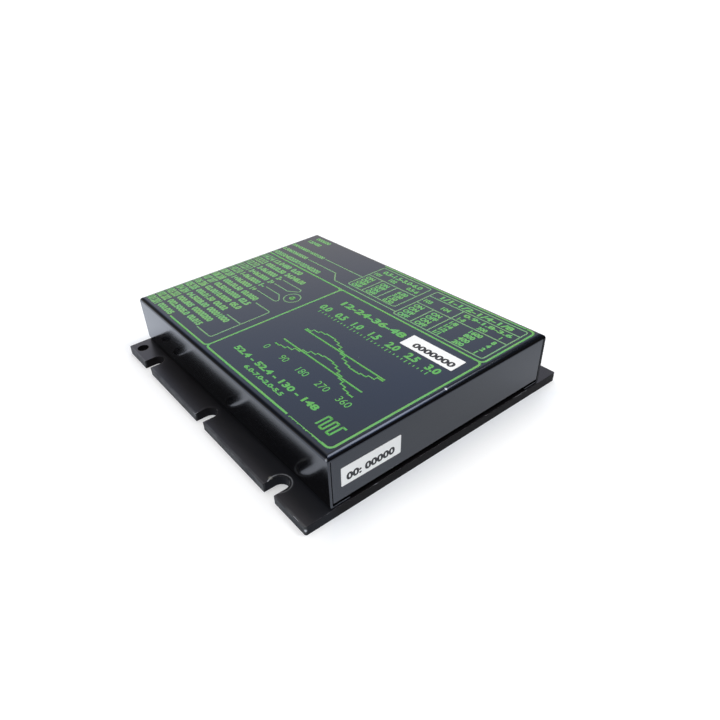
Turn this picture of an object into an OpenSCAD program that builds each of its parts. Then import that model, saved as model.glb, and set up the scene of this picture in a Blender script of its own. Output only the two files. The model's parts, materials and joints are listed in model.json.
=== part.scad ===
// Stepper driver module: a thick flanged base plate that fixes and cools it, a bent sheet cover
// with folded end flaps, and the driver board with its headers and slide switches at the far end.
// X runs across the flanges, Y along the module towards its terminals, Z up from the underside.

/* [Cover] */
// Width of the cover across its side walls
cover_w = 108; // [96:0.5:130]
// Length of the cover
cover_len = 148; // [146:1:190]
// Height of the cover above the base plate
cover_h = 23.2; // [22.4:0.2:36]
// Thickness of the bent sheet
sheet_t = 1; // [0.8:0.05:1.1]
// Outer radius of the bends along the top
bend_r = 2; // [1.6:0.1:2.6]
// Outer radius of the bends along the feet
foot_bend_r = 1.5; // [1.3:0.1:2]
// Width of the inward feet that lie on the base plate
foot_w = 8.5; // [8.5:0.1:9.2]
// Gap between an end flap and the side walls
flap_gap = 0.35; // [0.2:0.05:0.4]
// Gap between the feet and the lower edge of an end flap
flap_lift = 1.2; // [0.8:0.1:2.5]
// Clearance round a header or switch in its cut-out
port_clear = 0.3; // [0.2:0.05:0.3]
// Strip of sheet between the outer cut-outs and the edge of the flap
port_web = 1.6; // [1:0.1:1.6]
// Least strip of sheet between neighbouring cut-outs
port_bridge = 1.2; // [1:0.1:1.2]

/* [Base plate] */
// Thickness of the base plate
base_t = 4; // [3.5:0.5:6]
// Width of the flange outside each side wall
flange_w = 11; // [10:0.5:18]
// Length by which the base plate leads the cover at the closed end
base_lead = 0.5; // [0:0.1:3]
// Radius of the base plate's corners
base_corner_r = 0.8; // [0.4:0.1:3]

/* [Fixing slots and holes] */
// Width of a fixing slot
slot_w = 7; // [5:0.1:7.6]
// Depth of a fixing slot from the flange's edge
slot_depth = 8.4; // [6.5:0.1:9]
// Distance between neighbouring slots
slot_pitch = 52.4; // [30:0.2:54]
// Diameter of the round holes by the far corners
corner_hole_d = 5.5; // [4:0.1:6]
// Distance of a corner hole from the flange's edge
corner_hole_side = 4.5; // [4:0.1:5]
// Distance of a corner hole from the far end
corner_hole_end = 6.3; // [5:0.1:8]

/* [Cover screws] */
// Thread diameter of all screws
screw_d = 3; // [2.5:0.1:3]
// Diameter of a countersunk head
csk_d = 5.8; // [5.4:0.1:6]
// Distance between neighbouring cover screws
cover_screw_pitch = 58; // [40:1:62]
// Height of a nut on the feet
nut_h = 2.4; // [1.8:0.1:2.6]
// Width of a nut or stand-off across its flats
hex_af = 5.5; // [5:0.1:5.5]
// Radial clearance of a screw in its hole
screw_clear = 0.1; // [0.05:0.01:0.15]

/* [Circuit board] */
// Thickness of the board
board_t = 1.6; // [1.2:0.2:2]
// Height of the stand-offs under the board
board_lift = 6; // [5.6:0.1:7]
// Gap between the board and the side walls
board_side_gap = 1; // [0.6:0.1:1.4]
// Gap between the board and the far flap
board_rear_gap = 0.7; // [0.4:0.1:1.2]
// Gap between the board and the closed flap
board_front_gap = 6; // [3:0.5:8]
// Distance of the far stand-offs from the far end
standoff_rear = 19; // [17:0.5:21]
// Distance of the near stand-offs from the closed end
standoff_front = 12; // [11.5:0.1:12.5]
// Gap between a stand-off and the edge of a foot
standoff_gap = 1.6; // [1:0.1:2]

/* [Headers] */
// Pole pitch of both headers
pole_pitch = 5.08; // [5:0.01:5.08]
// Height of a header above the board
header_h = 9; // [8.6:0.1:9.6]
// Depth of a header from its face
header_depth = 12; // [11.5:0.1:12.5]
// Depth of a header's socket
socket_depth = 8.2; // [7.6:0.1:8.6]
// Wall of a header's shroud
shroud_t = 1; // [0.8:0.05:1.1]
// Thickness of a square pin
pin_t = 1; // [0.8:0.05:1]
// Height of the pins' middle above the board
pin_height = 3; // [2.8:0.1:3.2]
// Distance of the pins' tips behind the header's face
pin_tip = 1.3; // [0.8:0.1:1.6]

/* [Slide switch] */
// Distance between neighbouring levers
lever_pitch = 2.54; // [2.5:0.01:2.54]
// Height of the switch above the board
switch_h = 9.9; // [9:0.1:10.2]
// Depth of the switch from its face
switch_depth = 7; // [6:0.1:8]
// Distance of the switch's face behind the cover's far face
switch_set = 0.3; // [0.2:0.05:0.5]
// Width of a lever's knob
lever_w = 1; // [0.8:0.05:1.1]
// Height of a lever's knob
lever_h = 1.6; // [1.2:0.1:1.8]
// Travel of a lever
lever_travel = 1.8; // [1.4:0.1:2]
// Clearance round a lever
lever_clear = 0.2; // [0.15:0.01:0.2]

/* [Power stage] */
// Least gap between neighbouring transistors
transistor_gap = 0.6; // [0.4:0.1:0.8]
// Gap between the row of transistors and a foot
transistor_edge = 2; // [1.5:0.1:2.2]
// Distance of the transistor tabs from the closed end
transistor_front = 18; // [17:0.5:20]
// Thickness of the insulator under the transistors
insulator_t = 0.25; // [0.15:0.05:0.4]
// Bulk capacitors in the row
capacitor_count = 3; // [1:1:3]
// Diameter of a bulk capacitor
capacitor_d = 12.5; // [10:0.1:12.8]
// Length of a bulk capacitor
capacitor_len = 25; // [20:1:27]

/* [Labels] */
// Length of a tape label
label_len = 27; // [20:1:30]
// Width of a tape label
label_w = 8.8; // [6:0.1:10]
// Thickness of the tape
label_t = 0.15; // [0.1:0.01:0.2]
// Middle of the top label, across the cover
top_label_x = 12.6; // [5:0.1:20]
// Distance of the top label from the closed end
top_label_end = 7; // [4:0.5:12]
// Distance of the front label's middle from the nearer side wall
front_label_side = 18.4; // [17:0.1:30]
// Middle of the front label above the base plate
front_label_z = 11.7; // [10:0.1:13]

/* [Hidden] */
$fn = 48;
e = 0.5;
base_w = cover_w + 2 * flange_w;
base_len = cover_len + base_lead;
rear_y = base_len / 2;
front_y = rear_y - cover_len;
top_z = base_t + cover_h;
foot_top_z = base_t + sheet_t;
foot_gap = cover_w - 2 * foot_w;
foot_x = cover_w / 2 - sheet_t - (foot_w - sheet_t) / 2;
flap_foot_z = foot_top_z + flap_lift;
flap_half = cover_w / 2 - sheet_t - flap_gap;
csk_h = (csk_d - screw_d) / 2;
tap_floor = 0.8;
tap_run_out = 0.2;
hex_key = 2;
hex_key_deep = 1.2;
label_r = 0.5;

board_z = base_t + board_lift;
board_top = board_z + board_t;
board_w = cover_w - 2 * (sheet_t + board_side_gap);
board_rear = rear_y - sheet_t - board_rear_gap;
board_front = front_y + sheet_t + board_front_gap;
standoff_x = foot_gap / 2 - standoff_gap - hex_af / 2 / cos(30);
standoff_ys = [front_y + standoff_front, rear_y - standoff_rear];
board_screw_deep = 3.9;
board_tap_spare = 0.4;
pan_d = 5.6;
pan_h = 2;
pan_rim_h = 1.1;
pan_bevel = 0.7;
cross_len = 3;
cross_w = 0.6;
cross_deep = 1;

supply_poles = 2;
end_wall = 1;
latch_w = 2;
latch_l = 1.8;
latch_in = 2.6;
rib_w = 0.8;
rib_h = 0.6;
lever_count = 4;
switch_end = 0.75;
switch_w = lever_count * lever_pitch + 2 * switch_end;
supply_w = supply_poles * pole_pitch + 2 * end_wall;
port_room = 2 * (flap_half - port_web - port_bridge - 3 * port_clear);
signal_poles = floor((port_room - supply_w - switch_w - 2 * end_wall) / pole_pitch);
signal_w = signal_poles * pole_pitch + 2 * end_wall;
signal_x = -flap_half + port_web + port_clear + signal_w / 2;
supply_x = flap_half - port_web - port_clear - supply_w / 2;
switch_x = (signal_x + signal_w / 2 + supply_x - supply_w / 2) / 2;
switch_z = board_top + switch_h / 2;
switch_face = rear_y - switch_set;
pin_inset = 1.5;
pin_tail = header_depth - pin_inset;
pin_under = 1.5;
pin_fit = 0.05;
pin_hole_d = pin_t * 1.6;
lead_hole_d = 1.2;
lead_under = 1.2;
lead_over = 1;

lever_skin = 0.8;
lever_foot_t = 0.6;
lever_ear = 0.3;
lever_heel = 0.5;
lever_foot_w = lever_w + 2 * lever_ear;
lever_foot_h = lever_h + 2 * lever_heel;
knob_back = 0.1;
switch_pin_rows = [3, 5.8];
switch_pin = [0.5, 0.3];

transistor_w = 10;
transistor_row = foot_gap - 2 * transistor_edge;
transistor_count = floor((transistor_row + transistor_gap) / (transistor_w + transistor_gap));
transistor_pitch = (transistor_row - transistor_w) / (transistor_count - 1);
insulator_edge = 0.5;
tab_len = 6.3;
tab_t = 1.3;
tab_hole_d = 3.7;
tab_hole_in = 2.9;
package_len = 9.2;
package_h = 4.5;
package_nose = [0.9, 1.6];
package_heel = [0.4, 0.3];
lead_pitch = 2.54;
lead_t = 0.7;
lead_run = 3.2;
lead_h = 2.4;
tab_y = front_y + transistor_front;
tab_z = base_t + insulator_t;
lead_y = tab_y + tab_len + package_len + lead_run;

capacitor_gap = 1.4;
capacitor_side = 2;
capacitor_rear = 29;
capacitor_off = 0.1;
capacitor_step = capacitor_d + capacitor_gap;
capacitor_x = board_w / 2 - capacitor_side - capacitor_d / 2;
capacitor_y = rear_y - capacitor_rear - capacitor_len;
capacitor_z = board_top + capacitor_off + capacitor_d / 2;
cap_lead_d = 0.8;
cap_lead_pitch = 5;
cap_lead_run = 1.5;
cap_bend_r = 1;
cap_seal_in = 0.3;
cap_seal_edge = 1.2;
cap_rim = [1, 0.3];
cap_rim_h = 0.5;
cap_groove_at = 2.2;
cap_groove = 0.6;

sense_side = 28;
sense_y = -14;
sense_size = [14, 5, 3.5];
sense_r = 0.8;
sense_step = 8;
choke_side = 14;
choke_y = -18;
choke_size = [12, 12, 5.5];
choke_r = 2.5;
choke_cap_d = 9;
choke_cap_h = 0.5;
controller_side = 30;
controller_y = 6;
socket_w = 21.5;
socket_cut = 3;
well_cut = 1.6;
chip_cut = 1.4;
chip_dot_d = 1.4;
chip_dot_in = 2;
chip_dot_deep = 0.3;
socket_h = 4.6;
socket_floor = 1;
chip_w = 16.6;
chip_h = 4;
chip_gap = 0.3;
crystal_side = 10;
crystal_size = [4.6, 11.2, 3.5];
driver_sides = [22, 46];
driver_y = -20;
driver_size = [7.5, 12.8, 2.3];
driver_leads_side = 10;
driver_lead_pitch = 1.27;
opto_count = 6;
opto_side = 22;
opto_step = 9;
opto_rear = 24;
opto_size = [4.4, 4.6, 2.2];
opto_lead_pitch = 2.54;
package_off = 0.2;
package_draw = 0.3;
gull_w = 0.4;
gull_t = 0.24;
gull_knee = 0.5;
gull_slope = 0.2;
gull_reach = 1.5;

// Where things repeat

module at_cover_screws() {
    for (x = [-foot_x, foot_x], k = [-1, 0, 1])
        translate([x, k * cover_screw_pitch, 0]) children();
}

module at_standoffs() {
    for (x = [-standoff_x, standoff_x], y = standoff_ys)
        translate([x, y, 0]) children();
}

module at_transistors() {
    for (k = [0 : transistor_count - 1])
        translate([(k - (transistor_count - 1) / 2) * transistor_pitch, 0, 0]) children();
}

module at_poles(poles) {
    for (k = [0 : poles - 1])
        translate([(k - (poles - 1) / 2) * pole_pitch, 0, 0]) children();
}

module at_capacitors() {
    for (k = [0 : capacitor_count - 1])
        translate([capacitor_x - k * capacitor_step, 0, 0]) children();
}

// A box given by its lower corner and its upper corner
module span(low, high) {
    translate(low) cube(high - low);
}

// Base plate

// A slot open to the plate's edge, which is at x = 0
module slot_outline() {
    translate([-e, -slot_w / 2]) square([slot_depth - slot_w / 2 + e, slot_w]);
    translate([slot_depth - slot_w / 2, 0]) circle(d = slot_w);
}

module rounded_plate(w, l, r) {
    square([w - 2 * r, l], center = true);
    square([w, l - 2 * r], center = true);
    for (x = [-1, 1], y = [-1, 1])
        translate([x * (w / 2 - r), y * (l / 2 - r)]) circle(r);
}

module base_outline() {
    difference() {
        rounded_plate(base_w, base_len, base_corner_r);
        for (side = [0, 1], k = [-1, 0, 1])
            mirror([side, 0]) translate([-base_w / 2, k * slot_pitch]) slot_outline();
        for (side = [-1, 1])
            translate([side * (base_w / 2 - corner_hole_side), rear_y - corner_hole_end])
                circle(d = corner_hole_d);
    }
}

// Countersunk screw shape standing on its head, grown by a clearance
module countersunk(length, clear) {
    r = screw_d / 2 + clear;
    rotate_extrude()
        polygon([[0, 0], [csk_d / 2 + clear, 0], [r, csk_h], [r, length], [0, length]]);
}

module base_plate() {
    color("#26272a")
    difference() {
        linear_extrude(base_t) base_outline();
        at_cover_screws() {
            translate([0, 0, -e]) cylinder(d = csk_d + 2 * screw_clear, h = e);
            countersunk(base_t + e, screw_clear);
        }
        at_standoffs() translate([0, 0, tap_floor]) cylinder(d = screw_d + 2 * screw_clear, h = base_t);
        at_transistors() translate([0, tab_y + tab_hole_in, tap_floor])
            cylinder(d = screw_d + 2 * screw_clear, h = base_t);
    }
}

// Cover

// Outline of the cover's cross-section, drawn in by a wall
module cover_outline(wall) {
    w = cover_w / 2 - wall;
    low = base_t + wall;
    high = top_z - wall;
    r_top = bend_r - wall;
    r_low = foot_bend_r - wall;
    translate([-w, low + r_low]) square([2 * w, high - r_top - low - r_low]);
    translate([-w + r_top, low + r_low]) square([2 * (w - r_top), high - low - r_low]);
    translate([-w + r_low, low]) square([2 * (w - r_low), high - r_top - low]);
    for (side = [-1, 1]) {
        translate([side * (w - r_top), high - r_top]) circle(r_top);
        translate([side * (w - r_low), low + r_low]) circle(r_low);
    }
}

// Outline of the cover from the side, rounded where the flaps fold down, drawn in by a wall
module side_outline(wall) {
    low = base_t + wall;
    high = top_z - wall;
    r_top = bend_r - wall;
    ends = [front_y + bend_r, rear_y - bend_r];
    translate([front_y + wall, low]) square([cover_len - 2 * wall, high - r_top - low]);
    translate([ends[0], low]) square([ends[1] - ends[0], high - low]);
    for (y = ends)
        translate([y, high - r_top]) circle(r_top);
}

// The cover filled up, drawn in by a wall, with bends that meet in rounded corners
module cover_block(wall) {
    intersection() {
        translate([0, rear_y, 0]) rotate([90, 0, 0]) linear_extrude(cover_len) cover_outline(wall);
        translate([-cover_w / 2, 0, 0]) rotate([90, 0, 90]) linear_extrude(cover_w) side_outline(wall);
    }
}

// Slit that parts an end flap from the side walls and the feet, up to where the sheet bends
module flap_slit(y) {
    translate([0, y + sheet_t / 2 + e, 0]) rotate([90, 0, 0]) linear_extrude(sheet_t + 2 * e)
        difference() {
            cover_outline(sheet_t);
            translate([-flap_half, flap_foot_z]) square([2 * flap_half, cover_h]);
            translate([-cover_w / 2, top_z - bend_r]) square([cover_w, bend_r]);
        }
}

// Cut-out in the far flap for something that stands on the board
module port(x, w, h) {
    span(
        [x - w / 2 - port_clear, rear_y - sheet_t - e, board_top - port_clear],
        [x + w / 2 + port_clear, rear_y + e, board_top + h + port_clear]
    );
}

module cover() {
    color("#1f2126")
    difference() {
        cover_block(0);
        cover_block(sheet_t);
        span([-foot_gap / 2, front_y - e, base_t - e], [foot_gap / 2, rear_y + e, foot_top_z + e]);
        flap_slit(front_y + sheet_t / 2);
        flap_slit(rear_y - sheet_t / 2);
        port(signal_x, signal_w, header_h);
        port(supply_x, supply_w, header_h);
        port(switch_x, switch_w, switch_h);
        at_cover_screws() translate([0, 0, base_t - e])
            cylinder(d = screw_d + 2 * screw_clear, h = sheet_t + 2 * e);
    }
}

module cover_screws() {
    color("#8d9094")
    at_cover_screws() difference() {
        countersunk(foot_top_z + nut_h, 0);
        translate([0, 0, -e]) cylinder(d = hex_key / cos(30), h = hex_key_deep + e, $fn = 6);
    }
}

module cover_nuts() {
    color("#a9acb0")
    at_cover_screws() translate([0, 0, foot_top_z]) difference() {
        cylinder(d = hex_af / cos(30), h = nut_h, $fn = 6);
        translate([0, 0, -e]) cylinder(d = screw_d + screw_clear, h = nut_h + 2 * e);
    }
}

// Labels

module top_label() {
    color("#eef0f0")
    translate([top_label_x, front_y + top_label_end + label_len / 2, top_z])
        linear_extrude(label_t) rounded_plate(label_w, label_len, label_r);
}

module front_label() {
    color("#eef0f0")
    translate([front_label_side - cover_w / 2, front_y, base_t + front_label_z]) rotate([90, 0, 0])
        linear_extrude(label_t) rounded_plate(label_len, label_w, label_r);
}

// Circuit board and what carries it

module circuit_board() {
    color("#1f5a34")
    difference() {
        span([-board_w / 2, board_front, board_z], [board_w / 2, board_rear, board_top]);
        at_standoffs() translate([0, 0, board_z - e])
            cylinder(d = screw_d + 2 * screw_clear, h = board_t + 2 * e);
        translate([0, 0, board_z - e]) {
            translate([signal_x, rear_y - pin_tail, 0]) at_poles(signal_poles)
                cylinder(d = pin_hole_d, h = board_t + 2 * e);
            translate([supply_x, rear_y - pin_tail, 0]) at_poles(supply_poles)
                cylinder(d = pin_hole_d, h = board_t + 2 * e);
            at_transistors() for (k = [-1, 0, 1])
                translate([k * lead_pitch, lead_y, 0]) cylinder(d = lead_hole_d, h = board_t + 2 * e);
            at_capacitors() for (k = [-1, 1])
                translate([k * cap_lead_pitch / 2, capacitor_y - cap_lead_run - cap_bend_r, 0])
                    cylinder(d = lead_hole_d, h = board_t + 2 * e);
            for (k = [0 : lever_count - 1], y = switch_pin_rows)
                translate([lever_x(k), switch_face - y, 0]) cylinder(d = lead_hole_d, h = board_t + 2 * e);
        }
    }
}

module board_standoffs() {
    color("#c2a25a")
    at_standoffs() difference() {
        union() {
            translate([0, 0, base_t]) cylinder(d = hex_af / cos(30), h = board_lift, $fn = 6);
            translate([0, 0, tap_floor + tap_run_out]) cylinder(d = screw_d, h = base_t - tap_floor);
        }
        translate([0, 0, board_z - board_screw_deep - board_tap_spare])
            cylinder(d = screw_d + screw_clear, h = board_lift);
    }
}

// Pan head screw whose head stands on z = 0
module pan_screw(length) {
    difference() {
        rotate_extrude() polygon([
            [0, -length], [screw_d / 2, -length], [screw_d / 2, 0], [pan_d / 2, 0],
            [pan_d / 2, pan_rim_h], [pan_d / 2 - pan_bevel, pan_h], [0, pan_h]
        ]);
        for (a = [0, 90]) rotate(a)
            span([-cross_len / 2, -cross_w / 2, pan_h - cross_deep], [cross_len / 2, cross_w / 2, pan_h + e]);
    }
}

module board_screws() {
    color("#b4b7ba")
    at_standoffs() translate([0, 0, board_top]) pan_screw(board_t + board_screw_deep);
}

// Headers

// Square pin that comes out of the board and turns towards the far end, grown by a clearance
module header_pin(clear) {
    t = pin_t / 2 + clear;
    span(
        [-t, rear_y - pin_tail - t, board_top + pin_height - t],
        [t, rear_y - pin_tip + clear, board_top + pin_height + t]
    );
    span(
        [-t, rear_y - pin_tail - t, board_z - pin_under],
        [t, rear_y - pin_tail + t, board_top + pin_height + t]
    );
}

// Shrouded header: a long socket open to the far end, with a low rib between neighbouring poles
module header(x, w, poles) {
    floor_z = board_top + shroud_t;
    difference() {
        span([x - w / 2, rear_y - header_depth, board_top], [x + w / 2, rear_y, board_top + header_h]);
        span(
            [x - w / 2 + end_wall, rear_y - socket_depth, floor_z],
            [x + w / 2 - end_wall, rear_y + e, board_top + header_h - shroud_t]
        );
        translate([x, 0, 0]) at_poles(poles) {
            header_pin(pin_fit);
            span(
                [-latch_w / 2, rear_y - latch_in - latch_l, board_top + header_h - shroud_t - e],
                [latch_w / 2, rear_y - latch_in, board_top + header_h + e]
            );
        }
    }
    translate([x, 0, 0]) at_poles(poles - 1)
        span(
            [-rib_w / 2, rear_y - socket_depth - e, floor_z - e],
            [rib_w / 2, rear_y - pin_tip, floor_z + rib_h]
        );
}

module signal_header() {
    color("#3f8f4d") header(signal_x, signal_w, signal_poles);
}

module signal_pins() {
    color("#c9ccce") translate([signal_x, 0, 0]) at_poles(signal_poles) header_pin(0);
}

module supply_header() {
    color("#3f8f4d") header(supply_x, supply_w, supply_poles);
}

module supply_pins() {
    color("#c9ccce") translate([supply_x, 0, 0]) at_poles(supply_poles) header_pin(0);
}

// Slide switch

function lever_x(k) = switch_x + (k - (lever_count - 1) / 2) * lever_pitch;

module switch_body() {
    knob_room = lever_h + lever_travel + 2 * lever_clear;
    foot_room = lever_foot_h + lever_travel + 2 * lever_clear;
    knob_half = lever_w / 2 + lever_clear;
    foot_half = lever_foot_w / 2 + lever_clear;
    color("#2a4f9a")
    difference() {
        span([switch_x - switch_w / 2, switch_face - switch_depth, board_top],
            [switch_x + switch_w / 2, switch_face, board_top + switch_h]);
        for (k = [0 : lever_count - 1]) translate([lever_x(k), switch_face, switch_z]) {
            span([-knob_half, -lever_skin - e, -knob_room / 2], [knob_half, e, knob_room / 2]);
            span([-foot_half, -lever_skin - lever_foot_t - 2 * lever_clear, -foot_room / 2],
                [foot_half, -lever_skin, foot_room / 2]);
        }
    }
}

module switch_pins() {
    color("#c9ccce")
    for (k = [0 : lever_count - 1], y = switch_pin_rows)
        translate([lever_x(k), switch_face - y, 0])
            span([-switch_pin.x / 2, -switch_pin.y / 2, board_z - lead_under],
                [switch_pin.x / 2, switch_pin.y / 2, board_top]);
}

// One lever at its lower stop: a knob in the slot, held by a wider foot behind the face
module switch_lever(k) {
    foot_y = -lever_skin - lever_clear;
    color("#f0efe9")
    translate([lever_x(k), switch_face, switch_z - lever_travel / 2]) {
        difference() {
            span([-lever_w / 2, foot_y - e, -lever_h / 2], [lever_w / 2, -knob_back, lever_h / 2]);
            translate([0, -knob_back, 0]) rotate([0, 90, 0])
                cylinder(d = lever_h * 0.4, h = lever_w + 2 * e, center = true);
        }
        span([-lever_foot_w / 2, foot_y - lever_foot_t, -lever_foot_h / 2],
            [lever_foot_w / 2, foot_y, lever_foot_h / 2]);
    }
}

module switch_lever_1() {
    switch_lever(0);
}

module switch_lever_2() {
    switch_lever(1);
}

module switch_lever_3() {
    switch_lever(2);
}

module switch_lever_4() {
    switch_lever(3);
}

// Power stage, clamped flat to the base plate

module insulator_strip() {
    half = transistor_row / 2 + insulator_edge;
    color("#b9bcae")
    difference() {
        span([-half, tab_y - insulator_edge, base_t],
            [half, tab_y + tab_len + package_len + insulator_edge, tab_z]);
        at_transistors() translate([0, tab_y + tab_hole_in, base_t - e])
            cylinder(d = tab_hole_d, h = insulator_t + 2 * e);
    }
}

// Tab with its hole, and three leads that run out and turn up through the board
module transistor_tabs() {
    color("#b8bbbd")
    at_transistors() {
        difference() {
            span([-transistor_w / 2, tab_y, tab_z], [transistor_w / 2, tab_y + tab_len, tab_z + tab_t]);
            translate([0, tab_y + tab_hole_in, base_t - e]) cylinder(d = tab_hole_d, h = tab_t + 3 * e);
        }
        for (k = [-1, 0, 1]) translate([k * lead_pitch, 0, 0]) {
            span([-lead_t / 2, tab_y + tab_len + package_len, tab_z + lead_h - lead_t / 2],
                [lead_t / 2, lead_y + lead_t / 2, tab_z + lead_h + lead_t / 2]);
            span([-lead_t / 2, lead_y - lead_t / 2, tab_z + lead_h - lead_t / 2],
                [lead_t / 2, lead_y + lead_t / 2, board_top + lead_over]);
        }
    }
}

module transistor_bodies() {
    color("#1b1b1c")
    at_transistors() translate([-transistor_w / 2, tab_y + tab_len, tab_z]) rotate([90, 0, 90])
        linear_extrude(transistor_w) polygon([
            [0, 0], [package_len, 0], [package_len, package_h - package_heel.y],
            [package_len - package_heel.x, package_h], [package_nose.x, package_h],
            [0, package_h - package_nose.y]
        ]);
}

module transistor_screws() {
    color("#b4b7ba")
    at_transistors() translate([0, tab_y + tab_hole_in, tab_z + tab_t])
        pan_screw(tab_z + tab_t - tap_floor - tap_run_out);
}

module sense_resistors() {
    color("#d9d3c0")
    for (k = [0, 1]) translate([board_w / 2 - sense_side, sense_y - sense_step * k, board_top])
        linear_extrude(sense_size.z) rounded_plate(sense_size.x, sense_size.y, sense_r);
}

// Lying can with a crimped end, its axis along Y
module capacitor_can() {
    r = capacitor_d / 2;
    rotate([-90, 0, 0]) rotate_extrude() polygon([
        [0, cap_seal_in], [r - cap_seal_edge, cap_seal_in], [r - cap_rim.x, 0], [r - cap_rim.y, 0],
        [r, cap_rim_h], [r, cap_groove_at], [r - cap_groove, cap_groove_at + cap_groove],
        [r, cap_groove_at + 2 * cap_groove], [r, capacitor_len - cap_groove],
        [r - cap_groove, capacitor_len], [0, capacitor_len]
    ]);
}

module bulk_capacitors() {
    color("#25304a")
    at_capacitors() translate([0, capacitor_y, capacitor_z]) capacitor_can();
}

// Two leads a can, out of its crimped end and down through the board
module capacitor_leads() {
    color("#c9ccce")
    at_capacitors() for (k = [-1, 1]) translate([k * cap_lead_pitch / 2, capacitor_y, capacitor_z]) {
        translate([0, cap_seal_in, 0]) rotate([90, 0, 0])
            cylinder(d = cap_lead_d, h = cap_lead_run + cap_seal_in);
        translate([0, -cap_lead_run, -cap_bend_r]) rotate([0, -90, 180])
            rotate_extrude(angle = 90) translate([cap_bend_r, 0]) circle(d = cap_lead_d);
        translate([0, -cap_lead_run - cap_bend_r, board_z - lead_under - capacitor_z])
            cylinder(d = cap_lead_d, h = capacitor_z - cap_bend_r - board_z + lead_under);
    }
}

module supply_choke() {
    color("#3a3a3c")
    translate([board_w / 2 - choke_side, choke_y, board_top]) {
        linear_extrude(choke_size.z) rounded_plate(choke_size.x, choke_size.y, choke_r);
        translate([0, 0, choke_size.z - e]) cylinder(d = choke_cap_d, h = choke_cap_h + e);
    }
}

// Controller in its socket

module chip_outline(w, cut) {
    polygon([
        [-w / 2 + cut, w / 2], [w / 2, w / 2], [w / 2, -w / 2], [-w / 2, -w / 2], [-w / 2, w / 2 - cut]
    ]);
}

module controller_socket() {
    color("#2b2b2d")
    translate([controller_side - board_w / 2, controller_y, board_top]) difference() {
        linear_extrude(socket_h) chip_outline(socket_w, socket_cut);
        translate([0, 0, socket_floor]) linear_extrude(socket_h)
            chip_outline(chip_w + 2 * chip_gap, well_cut);
    }
}

module controller_chip() {
    color("#161617")
    translate([controller_side - board_w / 2, controller_y, board_top + socket_floor]) difference() {
        linear_extrude(chip_h) chip_outline(chip_w, chip_cut);
        translate([0, chip_w / 2 - chip_dot_in, chip_h - chip_dot_deep])
            cylinder(d = chip_dot_d, h = chip_dot_deep + e);
    }
}

module crystal() {
    straight = crystal_size.y - crystal_size.x;
    color("#c2c5c8")
    translate([crystal_side - board_w / 2, controller_y, board_top]) linear_extrude(crystal_size.z) {
        square([crystal_size.x, straight], center = true);
        for (side = [-1, 1]) translate([0, side * straight / 2]) circle(d = crystal_size.x);
    }
}

// Surface mounted package along Y, with its sides drawn in above and below the leads
module package(size) {
    half = size.x / 2;
    drawn = half - package_draw;
    translate([0, size.y / 2, board_top + package_off]) rotate([90, 0, 0]) linear_extrude(size.y) polygon([
        [-drawn, 0], [drawn, 0], [half, size.z / 2],
        [drawn, size.z], [-drawn, size.z], [-half, size.z / 2]
    ]);
}

// Bent leads along both sides of a package
module package_leads(size, count, pitch) {
    z = size.z / 2 + package_off;
    half_t = gull_t / 2;
    shin = gull_knee + gull_slope;
    for (side = [0, 1], k = [0 : count - 1])
        mirror([side, 0, 0])
            translate([size.x / 2, (k - (count - 1) / 2) * pitch + gull_w / 2, board_top])
                rotate([90, 0, 0]) linear_extrude(gull_w) polygon([
                    [0, z - half_t], [gull_knee, z - half_t], [shin, 0], [gull_reach, 0],
                    [gull_reach, gull_t], [shin + gull_slope, gull_t], [shin, z + half_t], [0, z + half_t]
                ]);
}

module at_drivers() {
    for (side = driver_sides) translate([side - board_w / 2, driver_y, 0]) children();
}

module driver_chips() {
    color("#19191a") at_drivers() package(driver_size);
}

module driver_leads() {
    color("#c9ccce") at_drivers() package_leads(driver_size, driver_leads_side, driver_lead_pitch);
}

module at_optocouplers() {
    for (k = [0 : opto_count - 1])
        translate([opto_side - board_w / 2 + opto_step * k, rear_y - opto_rear, 0]) children();
}

module optocouplers() {
    color("#e4e2da") at_optocouplers() package(opto_size);
}

module optocoupler_leads() {
    color("#c9ccce") at_optocouplers() package_leads(opto_size, 2, opto_lead_pitch);
}

base_plate();
cover();
cover_screws();
cover_nuts();
top_label();
front_label();
circuit_board();
board_standoffs();
board_screws();
signal_header();
signal_pins();
supply_header();
supply_pins();
switch_body();
switch_pins();
switch_lever_1();
switch_lever_2();
switch_lever_3();
switch_lever_4();
insulator_strip();
transistor_tabs();
transistor_bodies();
transistor_screws();
sense_resistors();
bulk_capacitors();
capacitor_leads();
supply_choke();
controller_socket();
controller_chip();
crystal();
driver_chips();
driver_leads();
optocouplers();
optocoupler_leads();
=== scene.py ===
"""Looks of a stepper driver module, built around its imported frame.

A bent sheet cover in black lacquer, with a legend printed in green and two white tape labels, lies on
a thick black plate with open fixing slots. Terminal headers and a slide switch look out of its far end.
Sizes and places are in millimetres, and MM turns them to metres.
"""

import json
import math

import bmesh
import bpy
from mathutils import Matrix, Vector


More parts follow.
